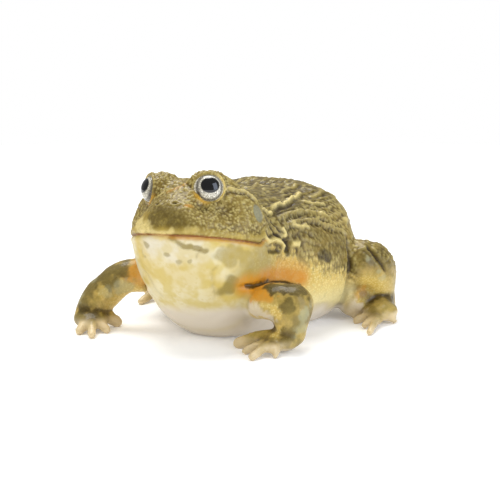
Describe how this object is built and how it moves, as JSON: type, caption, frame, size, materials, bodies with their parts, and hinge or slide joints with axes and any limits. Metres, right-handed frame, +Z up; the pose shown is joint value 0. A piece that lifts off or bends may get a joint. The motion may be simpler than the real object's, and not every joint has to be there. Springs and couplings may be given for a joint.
{
  "type": "african bullfrog, adult male",
  "caption": "Life-size still model of a resting african bullfrog with folded back skin, wide mouth and splayed limbs.",
  "frame": {"origin": "on the floor, under the middle of the flat of the belly", "axes": "+Z up; the frog faces -Y; its left side is +X"},
  "size_m": [0.1585, 0.1539, 0.0886],
  "materials": {
    "back_skin": "moist olive-brown skin with raised folds, warts and pale yellow ridges",
    "throat_skin": "moist cream and yellow skin with olive marbling",
    "limb_skin": "moist olive skin with darker blotches, yellow on the inner sides",
    "ear_drum": "smooth thin grey-brown ear drum",
    "eye": "clear glossy eye, black pupil, silver iris with a dark net"
  },
  "bodies": {
    "root": {"head": "back_skin", "jaw_throat": "throat_skin", "torso": "back_skin", "eye_left": "eye", "ear_left": "ear_drum", "upper_arm_left": "limb_skin", "forearm_left": "limb_skin", "hand_left": "limb_skin", "thigh_left": "limb_skin", "shank_left": "limb_skin", "foot_left": "limb_skin", "eye_right": "eye", "ear_right": "ear_drum", "upper_arm_right": "limb_skin", "forearm_right": "limb_skin", "hand_right": "limb_skin", "thigh_right": "limb_skin", "shank_right": "limb_skin", "foot_right": "limb_skin"}
  },
  "joints": []
}
